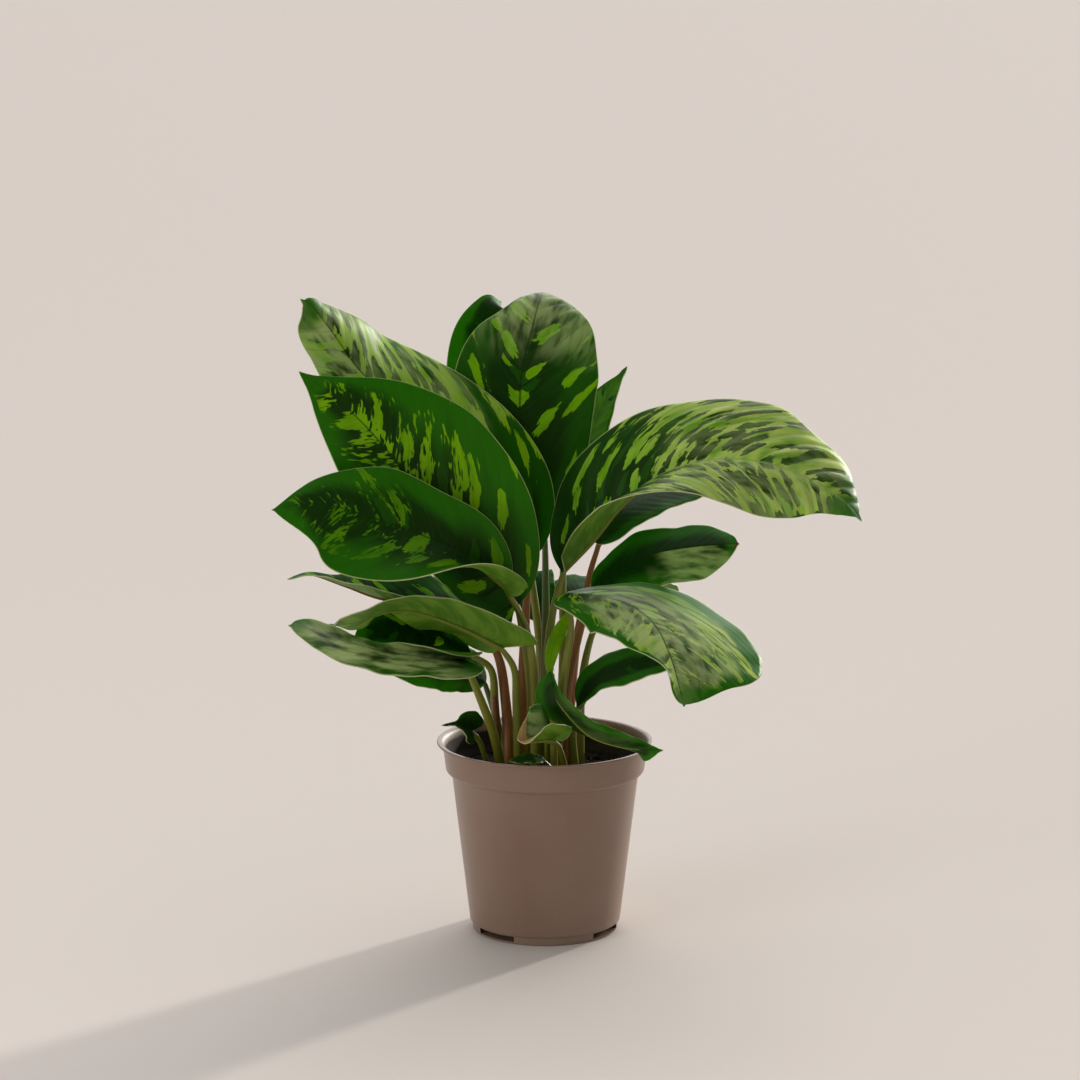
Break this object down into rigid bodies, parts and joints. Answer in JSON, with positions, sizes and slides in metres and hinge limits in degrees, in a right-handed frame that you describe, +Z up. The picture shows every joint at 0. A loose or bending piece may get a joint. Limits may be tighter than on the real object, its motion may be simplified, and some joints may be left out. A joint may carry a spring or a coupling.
{
  "type": "potted foliage plant",
  "caption": "Homalomena houseplant with broad blotched green leaves on upright stalks, in a tapered taupe nursery pot with soil.",
  "frame": {"origin": "middle of the pot's underside, on the surface that it stands on", "axes": "+Z up along the pot's axis, -Y towards the side seen from the front, +X to the right"},
  "size_m": [0.3163, 0.2297, 0.3571],
  "materials": {
    "pot_plastic": "satin taupe, darker inside",
    "potting_soil": "rough dark peat",
    "leaf": "satin dark green with light green blotches and a pale margin, on yellow green stalks",
    "young_leaf": "soft light green",
    "cut_stalk": "dull green with a reddish brown end"
  },
  "bodies": {
    "root": {"pot": "pot_plastic", "soil": "potting_soil", "leaf_upper_left": "leaf", "leaf_left_high": "leaf", "leaf_left_middle": "leaf", "leaf_left_thin": "leaf", "leaf_left_folded": "leaf", "leaf_left_inner": "leaf", "leaf_left_low": "leaf", "leaf_left_shaded": "leaf", "leaf_pot_edge": "leaf", "leaf_top_back": "leaf", "leaf_top_centre": "leaf", "leaf_top_right": "leaf", "leaf_big_right": "leaf", "leaf_right_behind": "leaf", "leaf_right_middle": "leaf", "leaf_right_front": "leaf", "leaf_right_low": "leaf", "leaf_right_sliver": "leaf", "leaf_centre_back": "leaf", "leaf_front_draped": "leaf", "leaf_front_small": "leaf", "leaf_back_band": "leaf", "leaf_young": "young_leaf", "leaf_soil_front": "leaf", "cut_stalk": "cut_stalk"}
  },
  "joints": []
}
